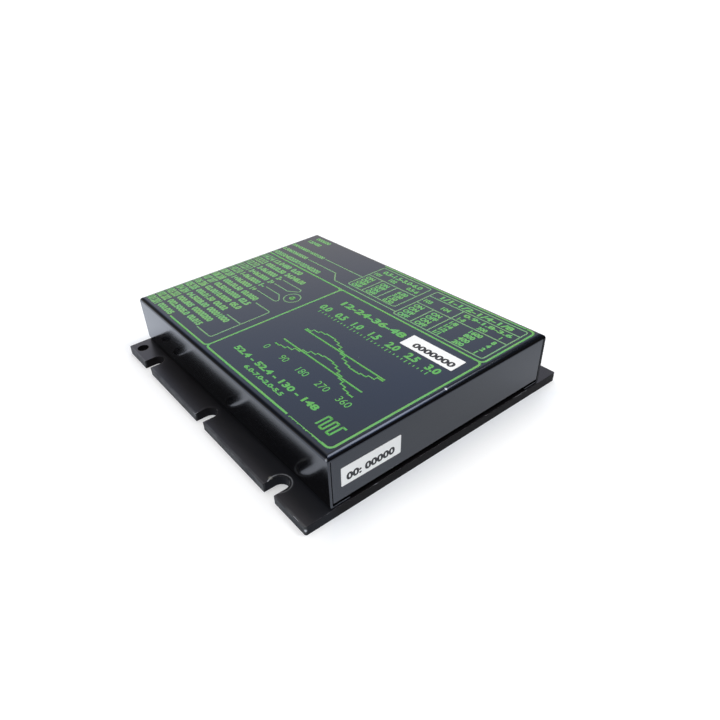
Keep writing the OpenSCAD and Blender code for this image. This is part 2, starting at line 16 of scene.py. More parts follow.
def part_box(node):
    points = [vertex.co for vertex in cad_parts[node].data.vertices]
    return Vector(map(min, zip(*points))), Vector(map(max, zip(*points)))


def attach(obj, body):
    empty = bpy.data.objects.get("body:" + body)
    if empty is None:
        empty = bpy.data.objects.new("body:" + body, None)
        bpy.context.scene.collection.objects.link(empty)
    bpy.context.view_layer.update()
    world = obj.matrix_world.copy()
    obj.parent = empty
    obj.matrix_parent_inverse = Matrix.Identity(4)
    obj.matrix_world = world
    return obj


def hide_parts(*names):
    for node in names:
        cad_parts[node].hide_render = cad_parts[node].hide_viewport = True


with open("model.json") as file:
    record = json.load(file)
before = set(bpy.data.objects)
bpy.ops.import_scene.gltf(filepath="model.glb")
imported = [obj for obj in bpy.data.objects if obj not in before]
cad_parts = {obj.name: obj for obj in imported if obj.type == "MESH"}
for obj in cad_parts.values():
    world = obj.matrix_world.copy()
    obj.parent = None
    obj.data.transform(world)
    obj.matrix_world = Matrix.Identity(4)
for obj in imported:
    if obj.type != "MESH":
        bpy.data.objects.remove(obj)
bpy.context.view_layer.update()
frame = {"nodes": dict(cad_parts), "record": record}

MM = 0.001
scene = bpy.context.scene
cad = frame["nodes"]

# Places on the frame
TOP_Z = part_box("cover")[1].z / MM
TOP_LABEL_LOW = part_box("top_label")[0] / MM
FRONT_LABEL_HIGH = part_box("front_label")[1] / MM
SWITCH_LOW, SWITCH_HIGH = (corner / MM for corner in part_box("switch_body"))
SWITCH_WAYS = 4

# Camera, fitted to the straight edges in the photograph
CAMERA_AT = Vector((-130.3, -183.45, 153.8))
CAMERA_AZIMUTH = math.radians(-32.06)
CAMERA_ELEVATION = math.radians(35.57)
CAMERA_ROLL = math.radians(-5.86)
LENS = 29.45
SENSOR = 36.0
CLIP_START = 10
IMAGE_SIZE = 720
LENS_AXIS_PIXEL = (297.85, 380.23)

# Lamps: name, place, side and power. The first shows in the near bend, the second in nothing that is seen.
LAMPS = (
    ("ceiling_lamp", Vector((590, -400, 1150)), 560, 6.3),
    ("fill_lamp", Vector((-630, -630, 1080)), 700, 6.5),
)

# Surroundings: their level, the ways in which they are dark, and the glow of the ceiling lamp's shade
WORLD_LEVEL = 1.5
DARK_CORNER = (-0.47, 0.72, 0.5)
DARK_FRONT = (0.46, -0.84, 0.3)
SHADE_GLOW = 2.9

# Floor as it is seen: its glow in the shadow and out of it, the shadow's half size and soft edge, and the
# span over which the far floor grows white
FLOOR_SIZE = 30000
FLOOR_DROP = 0.02
FLOOR_GLOW = (0.03, 0.2)
SHADOW_HALF = Vector((60, 82, 0))
SHADOW_EDGE = 7
FLOOR_FAR = (150, 500)
FLOOR_FAR_GLOW = 1.0

# Floor as it is mirrored: the way in which it grows bright, its glow in front, beside and behind, the spans
# over which it changes, and the way and span in which it ends
MIRROR_WAY = (-0.8, 0.6, 0.0)
MIRROR_GLOW = (0.1, 0.43, 0.75)
MIRROR_SIDE = (-60, 20)
MIRROR_BACK = (82, 105)
FLOOR_END_WAY = (0.3, -1.0, 0.0)
FLOOR_END = (115, 190)

# Printed ink: its thickness, how far it sinks in, and how much lower each of a few strokes lies in turn
INK_THICKNESS = 0.02
INK_SINK = 0.002
STROKE_DROP = 0.002
STROKE_LEVELS = 6
PRINT_Z = TOP_Z + INK_THICKNESS / 2 - INK_SINK

# Widths and corner radii of the printed lines
FRAME_LINE, FRAME_CORNER = 0.96, 2.2
THIN_LINE, THIN_CORNER = 0.64, 1.2
RIGHT_LINE = 0.8
WORN_LINE = 0.34
COIL_LINE = 0.58
SHAFT_LINE = 1.5
CHART_LINE = 0.8
PULSE_LINE, PULSE_CORNER = 0.85, 0.3

# Legend's frame, whose cross line is printed a little askew
FRAME_LEFT = -50.55
FRAME_RIGHT = 51.5
FRAME_FRONT = -70.7
SPLIT_X = 20.7
SPLIT_LEFT_Y = 12.25
SPLIT_RIGHT_Y = 11.45
LEGEND_END = 72.1
LEFT_LINE_END = 46.6
RIGHT_LINE_START, RIGHT_LINE_END = -66.7, 15.5


# Nodes and colours

def linear(code):
    """Linear colour of an sRGB hex value."""
    channels = [int(code[i:i + 2], 16) / 255 for i in (1, 3, 5)]
    return [c / 12.92 if c <= 0.04045 else ((c + 0.055) / 1.055) ** 2.4 for c in channels] + [1.0]


def add(tree, kind, links=None, values=None, **settings):
    """Adds a node with its settings, fixed inputs and links, each from a socket or a node's first output."""
    node = tree.nodes.new(kind)
    for name, value in settings.items():
        setattr(node, name, value)
    for socket, value in (values or {}).items():
        node.inputs[socket].default_value = value
    for socket, source in (links or {}).items():
        output = source.outputs[0] if isinstance(source, bpy.types.Node) else source
        tree.links.new(output, node.inputs[socket])
    return node


def maths(tree, operation, *terms, **settings):
    """The outcome of a sum on sockets and plain numbers."""
    values = {place: term for place, term in enumerate(terms) if isinstance(term, (int, float))}
    links = {place: term for place, term in enumerate(terms) if place not in values}
    return add(tree, "ShaderNodeMath", links, values, operation=operation, **settings).outputs[0]


def times(tree, product, *factors):
    """The product of two or more numbers."""
    for factor in factors:
        product = maths(tree, "MULTIPLY", product, factor)
    return product


def ramp(tree, value, start, end, low=0.0, high=1.0):
    """A number that goes from low to high as a value goes from start to end, and no farther."""
    limits = {"From Min": start, "From Max": end, "To Min": low, "To Max": high}
    return add(tree, "ShaderNodeMapRange", {"Value": value}, limits).outputs["Result"]


def fade(tree, value, span, low=0.0, high=1.0):
    """The same over a span in millimetres."""
    return ramp(tree, value, span[0] * MM, span[1] * MM, low, high)


def split(tree, vector):
    """The three axes of a vector."""
    return add(tree, "ShaderNodeSeparateXYZ", {0: vector}).outputs


def reach(tree, vector, way):
    """How far a vector reaches in a way."""
    return add(tree, "ShaderNodeVectorMath", {0: vector}, {1: way}, operation="DOT_PRODUCT").outputs["Value"]


def fresh_tree(owner):
    """The emptied node tree of a material or world."""
    owner.use_nodes = True
    owner.node_tree.nodes.clear()
    return owner.node_tree


def start_material(name, **values):
    """A material with one shader, and the object coordinates that its patterns read."""
    material = bpy.data.materials.new(name)
    tree = fresh_tree(material)
    fixed = {key.replace("_", " "): value for key, value in values.items()}
    surface = add(tree, "ShaderNodeBsdfPrincipled", values=fixed)
    add(tree, "ShaderNodeOutputMaterial", {"Surface": surface})
    place = add(tree, "ShaderNodeTexCoord").outputs["Object"]
    return material, tree, surface, place


def give(tree, surface, **looks):
    """Links patterns to a shader's inputs, by name."""
    for name, source in looks.items():
        tree.links.new(source, surface.inputs[name.replace("_", " ")])


# Middle of the noise's range, over which a pattern goes from end to end
NOISE_SPAN = (0.3, 0.7)


def wander(tree, place, size, low, high, stretch=(1, 1, 1), detail=3.0):
    """A number that wanders between low and high over patches of a size in millimetres."""
    drawn_out = add(tree, "ShaderNodeMapping", {"Vector": place}, {"Scale": stretch})
    noise = add(tree, "ShaderNodeTexNoise", {"Vector": drawn_out},
                {"Scale": 1 / (size * MM), "Detail": detail})
    return ramp(tree, noise, *NOISE_SPAN, low, high)


# Sockets of the mix node, for colours and for numbers
MIX_FACTOR, MIX_A, MIX_B, MIX_RESULT = 0, 6, 7, 2
MIX_NUMBER_A, MIX_NUMBER_B = 2, 3


def shade(tree, factor, first, second):
    """A colour between two others, each a hex value or a socket."""
    mix = add(tree, "ShaderNodeMix", {MIX_FACTOR: factor}, data_type="RGBA")
    for socket, colour in ((MIX_A, first), (MIX_B, second)):
        if isinstance(colour, str):
            mix.inputs[socket].default_value = linear(colour)
        else:
            tree.links.new(colour, mix.inputs[socket])
    return mix.outputs[MIX_RESULT]


def patchy(tree, place, size, first, second):
    """Two colours that drift into each other over patches of a size in millimetres."""
    return shade(tree, wander(tree, place, size, 0.0, 1.0), first, second)


def grain(tree, height, depth, strength, edge=0.0):
    """Surface normal raised by a height pattern, with edges that look broken by a radius; in millimetres."""
    bump = add(tree, "ShaderNodeBump", {"Height": height}, {"Strength": strength, "Distance": depth * MM})
    if edge:
        broken = add(tree, "ShaderNodeBevel", values={"Radius": edge * MM}, samples=4)
        tree.links.new(broken.outputs[0], bump.inputs["Normal"])
    return bump.outputs["Normal"]


def rubbed_edges(tree, place, width, patch, least):
    """Mask of the sharp edges, where rubbing in patches has gone through the finish; in millimetres."""
    broken = add(tree, "ShaderNodeBevel", values={"Radius": width * MM}, samples=6)
    flat = add(tree, "ShaderNodeNewGeometry").outputs["Normal"]
    turn = add(tree, "ShaderNodeVectorMath", {0: broken, 1: flat}, operation="DOT_PRODUCT").outputs["Value"]
    edge = ramp(tree, turn, 0.99, 0.9)
    patches = wander(tree, place, patch, least, 1.0, detail=5.0)
    return maths(tree, "MULTIPLY", edge, patches, use_clamp=True)


def knocked(tree, place, middle, inner, outer):
    """Mask of a spot that a knock has laid bare, full to its inner radius and gone at its outer one."""
    away = add(tree, "ShaderNodeVectorMath", {0: place}, {1: middle * MM}, operation="DISTANCE")
    return fade(tree, away.outputs["Value"], (inner, outer), 1.0, 0.0)


# Materials

KNOCK_AT = Vector((-0.3, -72.5, 26.9))
CORNER_KNOCK_AT = Vector((-53.55, -72.85, 25.95))
SHADED_RIM_X = 52.4


def black_lacquer():
    """Black stove lacquer on bent steel sheet: a deep blue-black gloss that mirrors what stands round it,
    with a faint orange peel, hazy where hands have wiped it, and a few pale specks of dust and chips."""
    material, tree, surface, place = start_material(
        "black stove lacquer on steel sheet", IOR=1.52, Specular_Tint=linear("#E2EBFF"))
    specks = add(tree, "ShaderNodeTexVoronoi", {"Vector": place},
                 {"Scale": 1 / (5.0 * MM), "Randomness": 1.0}).outputs
    few = add(tree, "ShaderNodeSeparateColor", {"Color": specks["Color"]}).outputs["Red"]
    dust = maths(tree, "LESS_THAN", specks["Distance"], ramp(tree, few, 0.8, 1.0, 0.0, 0.03))
    lacquer = patchy(tree, place, 26.0, "#010102", "#030405")
    worn = shade(tree, rubbed_edges(tree, place, 0.12, 3.0, -1.2), lacquer, "#5B6068")
    speckled = shade(tree, dust, worn, "#777C80")
    # Knocks on the near bend and on its left corner have gone through to the steel
    chipped = shade(tree, knocked(tree, place, KNOCK_AT, 0.3, 0.6), speckled, "#C9CDD2")
    chipped = shade(tree, knocked(tree, place, CORNER_KNOCK_AT, 0.2, 0.7), chipped, "#8E9195")
    # The right wall's forward-facing rim is given almost no gloss, so that it shows as a dark line: painted
    # shade
    facing = add(tree, "ShaderNodeNewGeometry").outputs["True Normal"]
    forward = maths(tree, "LESS_THAN", split(tree, facing)["Y"], -0.9)
    at_rim = maths(tree, "GREATER_THAN", split(tree, place)["X"], SHADED_RIM_X * MM)
    painted_shade_rim = times(tree, forward, at_rim)
    # Orange peel of about 1 mm, drawn deeper than it is so that it shows
    peel = wander(tree, place, 1.1, 0.0, 1.0, detail=1.0)
    give(tree, surface, Base_Color=chipped,
         Roughness=wander(tree, place, 30.0, 0.14, 0.17),
         Specular_IOR_Level=ramp(tree, painted_shade_rim, 0.0, 1.0, 0.5, 0.06),
         Normal=grain(tree, peel, 0.02, 0.006, edge=0.2))
    return material


def green_ink(name, dull, fresh):
    """Green screen-printing ink: a flat layer with a satin skin, a little yellower here and bluer there."""
    material, tree, surface, place = start_material(name, IOR=1.5)
    give(tree, surface, Base_Color=patchy(tree, place, 7.0, dull, fresh),
         Roughness=wander(tree, place, 6.0, 0.38, 0.5),
         Normal=grain(tree, wander(tree, place, 0.5, 0.0, 1.0), 0.01, 0.1))
    return material


def black_ink():
    """Black thermal print on tape: dense, dull and broken by the tape's grain."""
    material, tree, surface, place = start_material("black thermal print", IOR=1.45)
    give(tree, surface, Base_Color=patchy(tree, place, 0.6, "#17181B", "#2A2B2F"),
         Roughness=wander(tree, place, 2.0, 0.5, 0.6))
    return material


def white_tape():
    """Laminated white polyester tape: even and bright with a soft sheen, and grey at its lifted rim."""
    material, tree, surface, place = start_material("white polyester label tape", IOR=1.5)
    clean = patchy(tree, place, 9.0, "#EEF0EF", "#F6F7F6")
    edge = rubbed_edges(tree, place, 0.3, 2.0, 0.2)
    give(tree, surface, Base_Color=shade(tree, edge, clean, "#C9CBCB"),
         Roughness=wander(tree, place, 4.0, 0.3, 0.42),
         Normal=grain(tree, wander(tree, place, 3.5, 0.0, 1.0), 0.03, 0.12))
    return material


SLOT_PITCH = 52.4
SLOT_END_X = 60.1
RING_RADIUS = 4.5
RING_LINE = 0.34
PLATE_KNOCK_AT = Vector((-65.0, -74.25, 2.2))
SCRAPE_AT = Vector((-61.2, -48.0, 4.0))
# Spans of the left flange's near end, painted paler as a painted sheen, and of the left edge's painted
# highlight
PAINTED_SHEEN_Y = (-70.0, 25.0)
PAINTED_SHEEN_X = (-55.0, -50.0)
EDGE_HIGHLIGHT_X = (-64.0, -64.6)
CUT_EDGE_ROUGHNESS = 0.48


def black_plate():
    """Black anodised aluminium plate: rolled faces with a smooth sheen and fine lengthwise lines, dull cut
    edges, and bright metal where washers have cut rings round the slots and where corners were knocked."""
    material, tree, surface, place = start_material(
        "black anodised aluminium plate", IOR=1.5, Specular_Tint=linear("#FFF4F6"))
    axes = split(tree, place)
    # Distance from the round end of the nearest slot, in metres
    across = maths(tree, "SUBTRACT", maths(tree, "ABSOLUTE", axes["X"]), SLOT_END_X * MM)
    slot = maths(tree, "ROUND", maths(tree, "DIVIDE", axes["Y"], SLOT_PITCH * MM))
    along = maths(tree, "MULTIPLY_ADD", slot, -SLOT_PITCH * MM, axes["Y"])
    flat = add(tree, "ShaderNodeCombineXYZ", {"X": across, "Y": along})
    away = add(tree, "ShaderNodeVectorMath", {0: flat}, operation="LENGTH").outputs["Value"]
    off_ring = maths(tree, "ABSOLUTE", maths(tree, "SUBTRACT", away, RING_RADIUS * MM))
    ring = fade(tree, off_ring, (RING_LINE, RING_LINE * 0.4))
    # The washers cut deepest on the slots' far side, and the near slots are used most
    cut = fade(tree, along, (-RING_RADIUS, RING_RADIUS), 0.45, 1.1)
    use = fade(tree, axes["Y"], (-SLOT_PITCH, -0.2 * SLOT_PITCH), 0.8, 0.04)
    facing = add(tree, "ShaderNodeNewGeometry").outputs["True Normal"]
    rolled = maths(tree, "GREATER_THAN", maths(tree, "ABSOLUTE", split(tree, facing)["Z"]), 0.7)
    rings = times(tree, ring, cut, use, wander(tree, place, 2.2, 0.2, 1.0), rolled)
    bare = maths(tree, "MAXIMUM", rings, rubbed_edges(tree, place, 0.3, 6.0, -3.0))
    bare = maths(tree, "MAXIMUM", bare, knocked(tree, place, PLATE_KNOCK_AT, 0.2, 0.9))
    black = patchy(tree, place, 14.0, "#060506", "#0A090A")
    # The near end of the left flange is painted paler and bluer: a painted sheen
    painted_sheen = times(tree, fade(tree, axes["Y"], PAINTED_SHEEN_Y, 1.0, 0.0),
                    fade(tree, axes["X"], PAINTED_SHEEN_X, 1.0, 0.0))
    black = shade(tree, painted_sheen, black, "#15181D")
    scrape = times(tree, knocked(tree, place, SCRAPE_AT, 0.2, 1.0), rolled)
    black = shade(tree, scrape, black, "#85847A")
    # The left edge is painted pale grey in blotches: a painted highlight along its rounded edge and side
    # face
    blotches = wander(tree, place, 3.0, 0.1, 1.0, stretch=(1, 0.5, 1), detail=5.0)
    painted_edge_highlight = times(tree, fade(tree, axes["X"], EDGE_HIGHLIGHT_X), blotches)
    black = shade(tree, painted_edge_highlight, black, "#47494B")
    sheen = wander(tree, place, 8.0, 0.27, 0.36, stretch=(1, 0.2, 1))
    dull = add(tree, "ShaderNodeMix", {MIX_FACTOR: rolled, MIX_NUMBER_B: sheen},
               {MIX_NUMBER_A: CUT_EDGE_ROUGHNESS})
    lines = wander(tree, place, 0.35, 0.0, 1.0, stretch=(1, 0.02, 1), detail=2.0)
    give(tree, surface, Base_Color=shade(tree, bare, black, "#C6C9CE"), Metallic=bare,
         Roughness=dull.outputs[0],
         Specular_IOR_Level=ramp(tree, rolled, 0.0, 1.0, 0.07, 0.5),
         Normal=grain(tree, lines, 0.015, 0.12, edge=0.3))
    return material


def solder_mask():
    """Glass epoxy board under green solder mask: copper tracks show as paler lines on a dark weave."""
    material, tree, surface, place = start_material(
        "green solder mask on glass epoxy", IOR=1.55, Roughness=0.32)
    tracks = add(tree, "ShaderNodeTexVoronoi", {"Vector": place},
                 {"Scale": 1 / (3.8 * MM), "Randomness": 0.6}, distance="MANHATTAN", feature="F2")
    steps = maths(tree, "PINGPONG", tracks.outputs["Distance"], 0.35)
    copper = ramp(tree, steps, 0.14, 0.2)
    give(tree, surface, Base_Color=shade(tree, copper, "#0F4A2A", "#1F7040"),
         Normal=grain(tree, copper, 0.035, 0.6))
    return material


def sleeved_can():
    """Aluminium can in shrunk blue-black sleeve: glossy, and slightly wavy where it shrank."""
    material, tree, surface, place = start_material(
        "shrunk sleeve on an aluminium can", IOR=1.5, Roughness=0.22)
    give(tree, surface, Base_Color=patchy(tree, place, 6.0, "#16233F", "#223256"),
         Normal=grain(tree, wander(tree, place, 2.0, 0.0, 1.0), 0.05, 0.2))
    return material


def moulded(name, dark, light, patch, roughness, ior, grit):
    """Moulded plastic, cement or ferrite: two close shades in patches and an even grit; in millimetres."""
    material, tree, surface, place = start_material(name, IOR=ior)
    give(tree, surface, Base_Color=patchy(tree, place, patch, dark, light),
         Roughness=wander(tree, place, patch * 1.7, roughness * 0.85, roughness * 1.15),
         Normal=grain(tree, wander(tree, place, grit, 0.0, 1.0), 0.02, 0.15, edge=0.12))
    return material


def plated(name, dark, light, patch, roughness, stretch=(1, 1, 1)):
    """Bare or plated metal: drifting shade, and streaks from turning, drawing or dipping; in millimetres."""
    material, tree, surface, place = start_material(name, Metallic=1.0)
    give(tree, surface, Base_Color=patchy(tree, place, patch, dark, light),
         Roughness=wander(tree, place, patch * 0.6, roughness * 0.75, roughness * 1.3, stretch),
         Normal=grain(tree, wander(tree, place, 0.4, 0.0, 1.0, stretch), 0.01, 0.15, edge=0.1))
    return material


# The large figures' ink lies thick; the finer the line or figure, the thinner it lies and the paler it looks
INK = green_ink("green screen printing ink", "#5AA845", "#4EA94E")
LINE_INK = green_ink("green screen printing ink in lines", "#69AE52", "#58AE5A")
THIN_INK = green_ink("green screen printing ink in thin lines", "#76A46C", "#6CA672")
SMALL_INK = green_ink("green screen printing ink in small figures", "#70AC5A", "#62AD62")
PRINT = black_ink()
FINISHES = {
    "base_black": black_plate(),
    "cover_black": black_lacquer(),
    "label_white": white_tape(),
    "board_green": solder_mask(),
    "capacitor_blue": sleeved_can(),
    # Zinc plate: cool grey with a slight blue bloom
    "steel": plated("zinc plated steel", "#9EA2A6", "#C2C6CA", 1.8, 0.3),
    # Turned brass, a little tarnished
    "brass": plated("turned brass", "#A98540", "#C9A75A", 2.5, 0.28, (1, 1, 6)),
    # Dipped tin: bright, slightly wavy
    "tinned_pins": plated("tinned copper alloy", "#B9BCBE", "#D9DBDC", 1.2, 0.22, (1, 0.2, 1)),
    "tab_metal": plated("tinned copper tab", "#A7AAAC", "#C4C7C8", 3.0, 0.34),
    # Glass filled polyamide keeps a fine grit and dulls the light
    "header_green": moulded("moulded green polyamide", "#2B7C3B", "#358C46", 5.0, 0.42, 1.53, 0.5),
    # Smooth moulded plastics, which shine a little more
    "switch_blue": moulded("moulded blue polyester", "#1E4290", "#26509F", 3.0, 0.36, 1.57, 0.5),
    "lever_white": moulded("moulded white acetal", "#E6E4DC", "#F1EFE8", 1.0, 0.35, 1.48, 0.3),
    # Chip bodies and sockets: dull, with the grit of their filler
    "opto_white": moulded("white moulding compound", "#D8D5CB", "#E6E3DA", 1.5, 0.5, 1.55, 0.3),
    "chip_black": moulded("black moulding compound", "#151516", "#1E1E20", 1.2, 0.55, 1.55, 0.25),
    "socket_black": moulded("moulded black polyester", "#1C1C1E", "#252527", 2.5, 0.45, 1.57, 0.4),
    # Silicone pad filled with white powder: dull, with a woven carrier
    "insulator_grey": moulded("filled silicone pad", "#A5A898", "#B8BBAB", 0.8, 0.75, 1.43, 0.6),
    # Cement: chalky. Ferrite: dark grey with a stony glint
    "ceramic_buff": moulded("cement coated ceramic", "#CFC7B0", "#DDD6C2", 1.2, 0.8, 1.55, 0.35),
    "ferrite_grey": moulded("sintered ferrite", "#2E2E31", "#3C3C40", 1.0, 0.5, 2.2, 0.3),
}


def dress_frame():
    """Gives every CAD node the finish of its material slot."""
    for part in frame["record"]["subparts"]:
        for slot in cad[part["node"]].material_slots:
            slot.material = FINISHES[part["material_slot"]]


# Printed lines

def start_tree(name, output, **inputs):
    """A Geometry Nodes tree with named inputs of the given kinds and one output, and its inputs' sockets."""
    tree = bpy.data.node_groups.new(name, "GeometryNodeTree")
    for key, kind in inputs.items():
        tree.interface.new_socket(key.replace("_", " "), in_out="INPUT", socket_type="NodeSocket" + kind)
    tree.interface.new_socket(output, in_out="OUTPUT", socket_type="NodeSocketGeometry")
    return tree, add(tree, "NodeGroupInput").outputs


def end_tree(tree, output, geometry, ink):
    """Ends a tree with real geometry, all in one ink."""
    whole = add(tree, "GeometryNodeRealizeInstances", {"Geometry": geometry})
    inked = add(tree, "GeometryNodeSetMaterial", {"Geometry": whole, "Material": ink})
    add(tree, "NodeGroupOutput", {output: inked})
    return tree


def printed_lines_tree():
    """Geometry Nodes that turn drawn paths into flat printed lines with rounded corners."""
    tree, given = start_tree("printed lines", "Lines", Paths="Geometry", Line_Width="Float",
                             Ink_Thickness="Float", Corner_Radius="Float", Ink="Material")
    rounded = add(tree, "GeometryNodeFilletCurve",
                  {"Curve": given["Paths"], "Radius": given["Corner Radius"]},
                  {"Count": 6, "Limit Radius": True}, mode="POLY")
    level = add(tree, "GeometryNodeSetCurveNormal", {"Curve": rounded}, mode="Z_UP")
    stripe = add(tree, "GeometryNodeCurvePrimitiveQuadrilateral",
                 {"Width": given["Line Width"], "Height": given["Ink Thickness"]})
    swept = add(tree, "GeometryNodeCurveToMesh", {"Curve": level, "Profile Curve": stripe},
                {"Fill Caps": True})
    return end_tree(tree, "Lines", swept, given["Ink"])


def scale_tree():
    """Geometry Nodes that repeat a tick along a straight scale, every fifth tick longer."""
    tree, given = start_tree("printed scale", "Scale", Start="Geometry", Length="Float", Tick_Width="Float",
                             Tick_Length="Float", Ink_Thickness="Float", Ticks="Int", Origin="Vector",
                             Ink="Material")
    end = add(tree, "ShaderNodeCombineXYZ", {"Y": times(tree, given["Length"], -1.0)})
    last = add(tree, "ShaderNodeVectorMath", {0: given["Origin"], 1: end}, operation="ADD")
    ends = {"Count": given["Ticks"], "Start Location": given["Origin"], "Offset": last}
    row = add(tree, "GeometryNodeMeshLine", ends, mode="END_POINTS")
    size = add(tree, "ShaderNodeCombineXYZ",
               {"X": given["Tick Length"], "Y": given["Tick Width"], "Z": given["Ink Thickness"]})
    tick = add(tree, "GeometryNodeMeshCube", {"Size": size})
    fifth = maths(tree, "MODULO", add(tree, "GeometryNodeInputIndex"), 5.0)
    grow = ramp(tree, maths(tree, "GREATER_THAN", fifth, 0.5), 0.0, 1.0, 1.0, 0.6)
    stretch = add(tree, "ShaderNodeCombineXYZ", {"X": grow}, {"Y": 1.0, "Z": 1.0})
    ticks = add(tree, "GeometryNodeInstanceOnPoints", {"Points": row, "Instance": tick, "Scale": stretch})
    return end_tree(tree, "Scale", ticks, given["Ink"])


def real_mesh(name, data, tree=None, **inputs):
    """Plain mesh of a curve or text, or of what a Geometry Nodes tree makes of its named inputs."""
    holder = bpy.data.objects.new(name, data)
    scene.collection.objects.link(holder)
    if tree:
        modifier = holder.modifiers.new("nodes", "NODES")
        modifier.node_group = tree
        sockets = {s.name: s.identifier for s in tree.interface.items_tree if s.in_out == "INPUT"}
        for key, value in inputs.items():
            modifier[sockets[key.replace("_", " ")]] = value
    mesh = bpy.data.meshes.new_from_object(holder.evaluated_get(bpy.context.evaluated_depsgraph_get()))
    bpy.data.objects.remove(holder)
    return mesh


# Points nearer to each other than this are joined
WELD = 0.0005


def printed_piece(name, mesh):
    """A finished printed mesh, closed and facing outwards, that goes with the module."""
    shape = bmesh.new()
    shape.from_mesh(mesh)
    bmesh.ops.remove_doubles(shape, verts=shape.verts, dist=WELD * MM)
    bmesh.ops.recalc_face_normals(shape, faces=shape.faces)
    shape.to_mesh(mesh)
    shape.free()
    mesh.name = name
    piece = bpy.data.objects.new(name, mesh)
    scene.collection.objects.link(piece)
    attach(piece, "module")
    return piece


def drawn_paths(name, paths):
    """Flat paths on the cover's top, each a list of places and whether it closes. Each lies a hair lower
    than the one before, so that strokes which cross don't share a face."""
    curve = bpy.data.curves.new(name, "CURVE")
    curve.dimensions = "3D"
    for number, (points, closed) in enumerate(paths):
        height = PRINT_Z - number % STROKE_LEVELS * STROKE_DROP
        spline = curve.splines.new("POLY")
        spline.points.add(len(points) - 1)
        for point, (x, y) in zip(spline.points, points):
            point.co = (x * MM, y * MM, height * MM, 1)
        spline.use_cyclic_u = closed
    return curve


def box_path(left, front, right, back):
    """Closed path round a rectangle."""
    return [(left, front), (right, front), (right, back), (left, back)], True


def line(*points):
    """Open path through points."""
    return list(points), False


def circle(x, y, radius, sides=40):
    """Closed path round a middle."""
    turns = [2 * math.pi * k / sides for k in range(sides)]
    return [(x + radius * math.cos(t), y + radius * math.sin(t)) for t in turns], True


# Worn part of the frame's line: its ends, the ragged line that is left there, where the line grows wide
# again towards the corner, and flecks beside it
WORN_FROM, WORN_TO = -47.0, -66.2
RAGGED_FROM, RAGGED_STEP, RAGGED_POINTS = -48.4, 0.5, 36
RAGGED_SHIFT, RAGGED_SWING, RAGGED_RATES = -0.02, 0.09, (2.7, 1.1)
WORN_LEFT = ((0.1, -60.5), (-0.17, -63.0), (-0.3, -65.0))
WIDE_TO = -66.4
FLECKS_OUT = 0.3
WORN_FLECKS = ((-48.2, 0.6), (-50.4, 0.4), (-53.1, 0.9), (-56.8, 0.5), (-58.0, 0.7), (-61.7, 0.9))


def panel_paths():
    """Heavy frame round the legend's three panels, which share their sides."""
    run = 2 * FRAME_CORNER
    return [
        line((SPLIT_X, LEGEND_END), (SPLIT_X, FRAME_FRONT), (FRAME_RIGHT, FRAME_FRONT),
             (FRAME_RIGHT, FRAME_FRONT + run)),
        line((FRAME_LEFT, WORN_FROM), (FRAME_LEFT, SPLIT_LEFT_Y), (SPLIT_X, SPLIT_RIGHT_Y),
             (SPLIT_X, SPLIT_RIGHT_Y - run)),
        line((SPLIT_X, FRAME_FRONT + run), (SPLIT_X, FRAME_FRONT), (FRAME_LEFT, FRAME_FRONT),
             (FRAME_LEFT, WORN_TO)),
        line((FRAME_LEFT, LEFT_LINE_END), (FRAME_LEFT, SPLIT_LEFT_Y), (FRAME_LEFT + run, SPLIT_LEFT_Y)),
        line((SPLIT_X - run, SPLIT_RIGHT_Y), (SPLIT_X, SPLIT_RIGHT_Y), (SPLIT_X, SPLIT_RIGHT_Y + run)),
    ]


def worn_paths():
    """What is left of the frame's line where hands have rubbed its outer side off: a thin, ragged line that
    wanders and grows wide again towards the corner."""
    ragged = []
    for k in range(RAGGED_POINTS):
        sway = RAGGED_SWING * math.sin(RAGGED_RATES[0] * k) * math.cos(RAGGED_RATES[1] * k)
        ragged.append((FRAME_LEFT + RAGGED_SHIFT + sway, RAGGED_FROM - RAGGED_STEP * k))
    wide = [[(FRAME_LEFT + side, start), (FRAME_LEFT + side, WIDE_TO)] for side, start in WORN_LEFT]
    out = FRAME_LEFT - FLECKS_OUT
    flecks = [[(out, y), (out, y - long)] for y, long in WORN_FLECKS]
    return [line(*points) for points in [ragged] + wide + flecks]


# Two tables of switch settings: left, far, right and near edges, then the inner lines
TABLE_1 = (26.8, 14.4, 49.8, -17.2)
TABLE_1_LINE_X = 40.0
TABLE_1_LINES_Y = (4.6, -5.3)
TABLE_2 = (22.8, -20.7, 49.8, -68.7)
TABLE_2_LINES_X = (36.9, 44.8)
TABLE_2_LINES_Y = (-30.8, -40.5)


def table_paths():
    """The tables' outlines and inner lines."""
    left_1, far_1, right_1, near_1 = TABLE_1
    left_2, far_2, right_2, near_2 = TABLE_2
    paths = [box_path(left_1, near_1, right_1, far_1), box_path(left_2, near_2, right_2, far_2)]
    paths.append(line((TABLE_1_LINE_X, far_1), (TABLE_1_LINE_X, near_1)))
    paths += [line((left_1, y), (TABLE_1_LINE_X, y)) for y in TABLE_1_LINES_Y]
    paths += [line((x, far_2), (x, near_2)) for x in TABLE_2_LINES_X]
    paths += [line((left_2, y), (x, y)) for x, y in zip(TABLE_2_LINES_X, TABLE_2_LINES_Y)]
    return paths


def leader_paths():
    """Thin lines that join the terminals' figures, and lead from the switches to their tables."""
    return [
        line((-45.9, 29.0), (-45.9, 17.1), (-15.5, 17.1), (-15.5, 29.0)),
        line((-30.8, 29.0), (-30.8, 17.1)),
        line((35.9, 43.5), (35.9, TABLE_1[1])),
        line((29.6, 50.0), (29.6, 27.3), (24.4, 21.4), (24.4, TABLE_2[1])),
    ]


# Motor symbol: the coil loops' outer and inner legs, and the rotor
COIL_OUTER, COIL_INNER, COIL_FOOT = 7.5, 2.4, 5.4
COIL_FAR, COIL_BEND, COIL_NEAR = 39.3, 28.2, 23.7
MOTOR_X = -0.8
ROTOR_Y, ROTOR_RADIUS, SHAFT_RADIUS = 20.9, 4.0, 0.8
SHAFT_SIDES = 16


